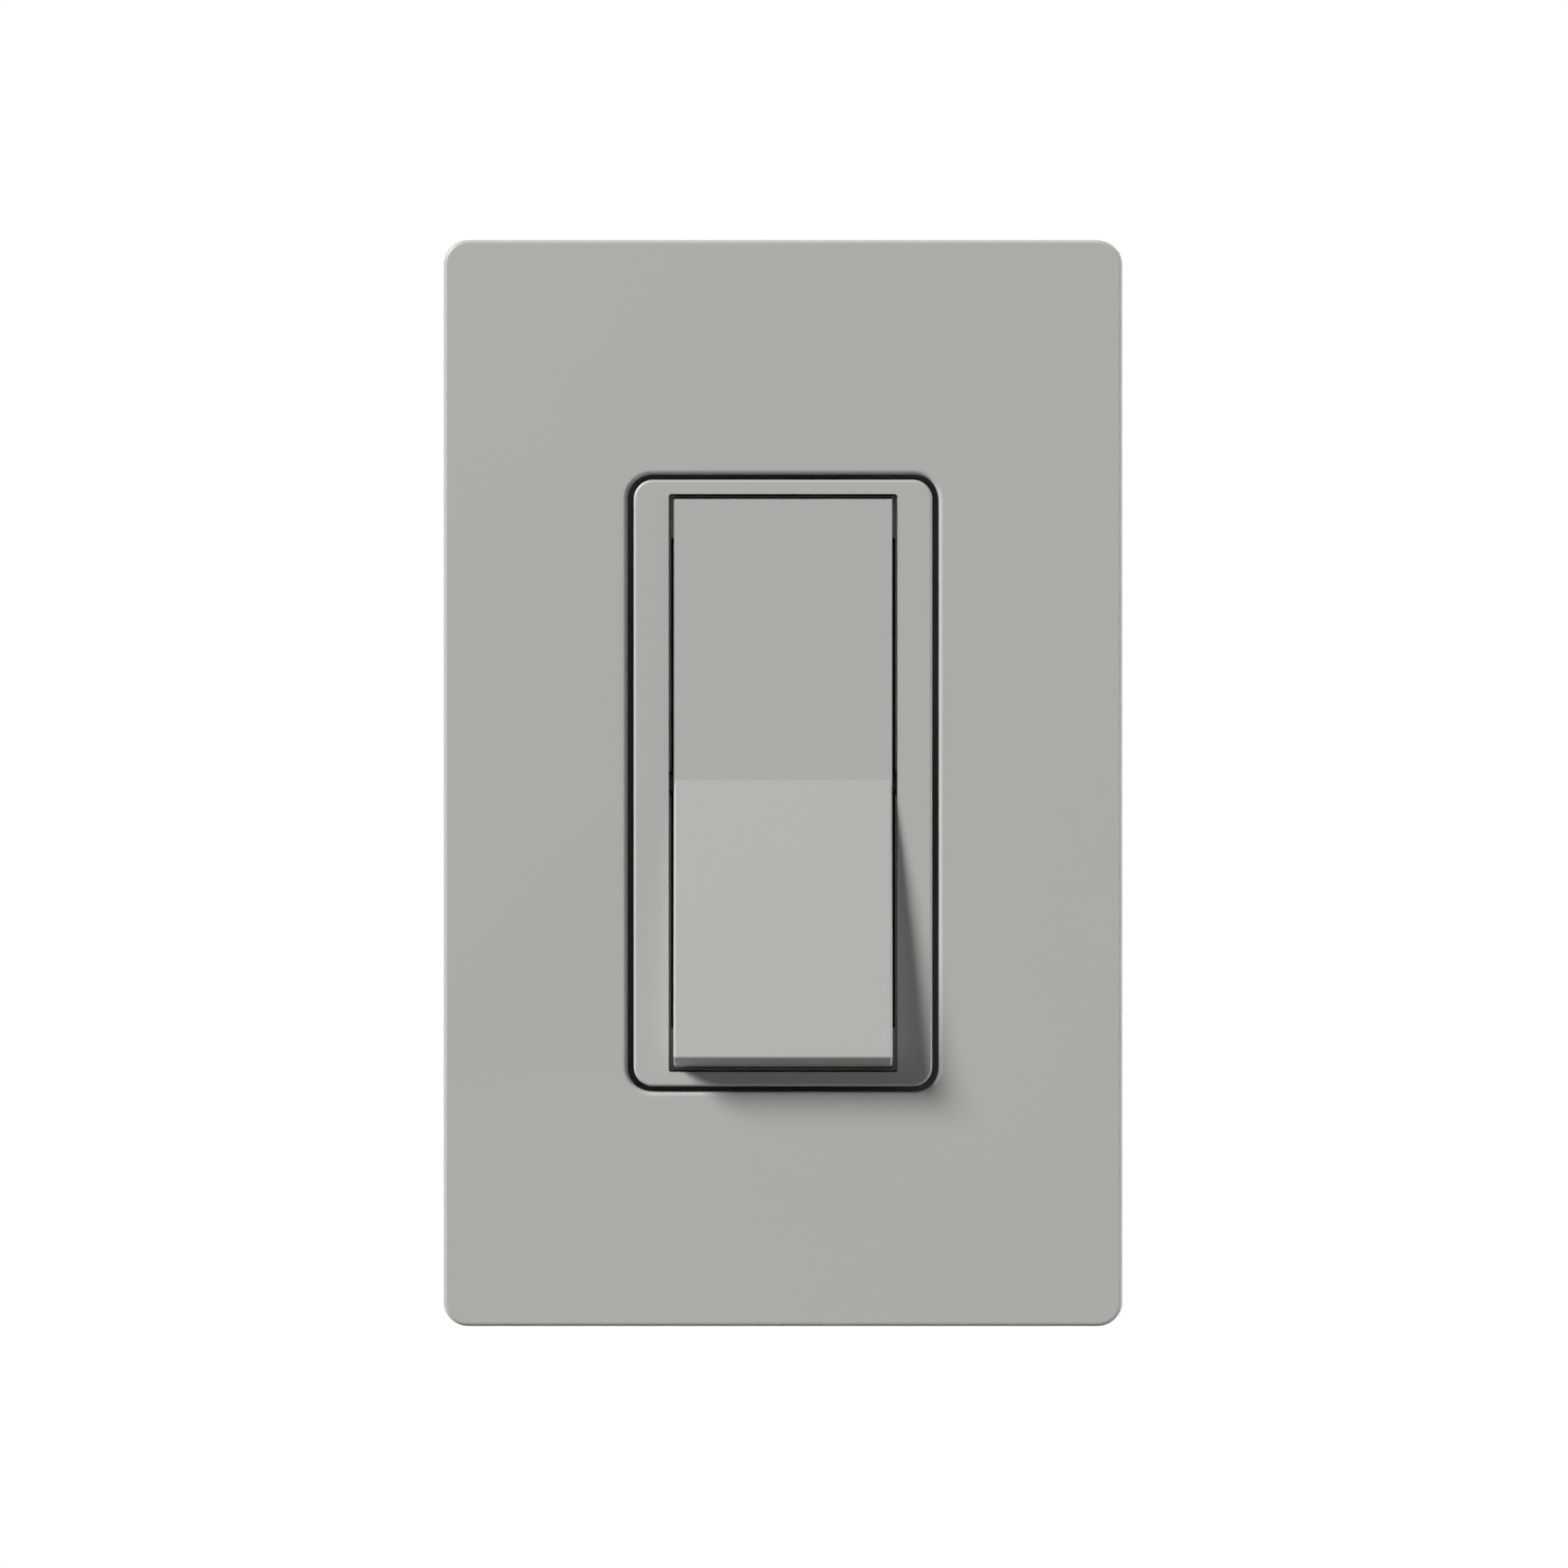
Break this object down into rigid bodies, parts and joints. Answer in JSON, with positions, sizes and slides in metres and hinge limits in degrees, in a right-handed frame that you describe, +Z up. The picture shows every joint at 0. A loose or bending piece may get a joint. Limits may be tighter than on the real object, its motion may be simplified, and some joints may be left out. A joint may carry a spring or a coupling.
{
  "type": "single-pole paddle switch with wallplate",
  "caption": "Wall light switch: a rocking paddle in a bezel works a see-saw contact in a moulded housing, behind a screwless wallplate.",
  "frame": {"origin": "midway between the two box screws, in the plane of the wall's surface", "axes": "+X to the viewer's right, +Y into the wall along the box screws, +Z up the switch's long side"},
  "size_m": [0.0746, 0.0395, 0.119],
  "materials": {
    "satin_grey_plastic": "satin",
    "adapter_plastic": "matte",
    "white_acetal": "satin",
    "dark_thermoset": "satin",
    "zinc_strap": "zinc plated",
    "zinc_steel": "zinc plated",
    "spring_steel": "satin",
    "green_screw": "green dyed plating",
    "brass": "satin",
    "copper": "rolled copper alloy",
    "silver_contact": "silver alloy",
    "fibre": "vulcanised fibre"
  },
  "bodies": {
    "root": {"wallplate_cover": "satin_grey_plastic", "wallplate_adapter": "adapter_plastic", "adapter_screws": "zinc_steel", "bezel_frame": "satin_grey_plastic", "yoke_strap": "zinc_strap", "box_screws": "zinc_steel", "screw_retainers": "fibre", "ground_screw": "green_screw", "rear_housing": "dark_thermoset", "barrier_plate": "dark_thermoset", "common_terminal": "brass", "fixed_terminal": "brass", "fixed_contact": "silver_contact", "clamp_plates": "zinc_steel", "terminal_screws": "brass", "push_in_springs": "spring_steel", "assembly_screws": "zinc_steel"},
    "paddle": {"paddle": "satin_grey_plastic", "plunger_spring": "spring_steel"},
    "plunger": {"plunger": "white_acetal"},
    "contact_rocker": {"contact_rocker": "copper", "moving_contact": "silver_contact"}
  },
  "joints": [
    {"name": "paddle_rock", "type": "hinge", "parent": "root", "child": "paddle", "pos_m": [0, -0.0026, 0], "axis": [1, 0, 0], "range_deg": [0, 7.5]},
    {"name": "contact_tilt", "type": "hinge", "parent": "root", "child": "contact_rocker", "pos_m": [0, 0.0152, 0], "axis": [1, 0, 0], "range_deg": [-12, 0]},
    {"name": "plunger_slide", "type": "slide", "parent": "paddle", "child": "plunger", "axis": [0, -0.9979, 0.0654], "range_m": [0, 0.001], "stiffness_N_per_m": 450, "deforming": ["plunger_spring"]}
  ],
  "couplings": [
    {"joint": "contact_tilt", "follows": "paddle_rock", "ratio": -1.6}
  ]
}
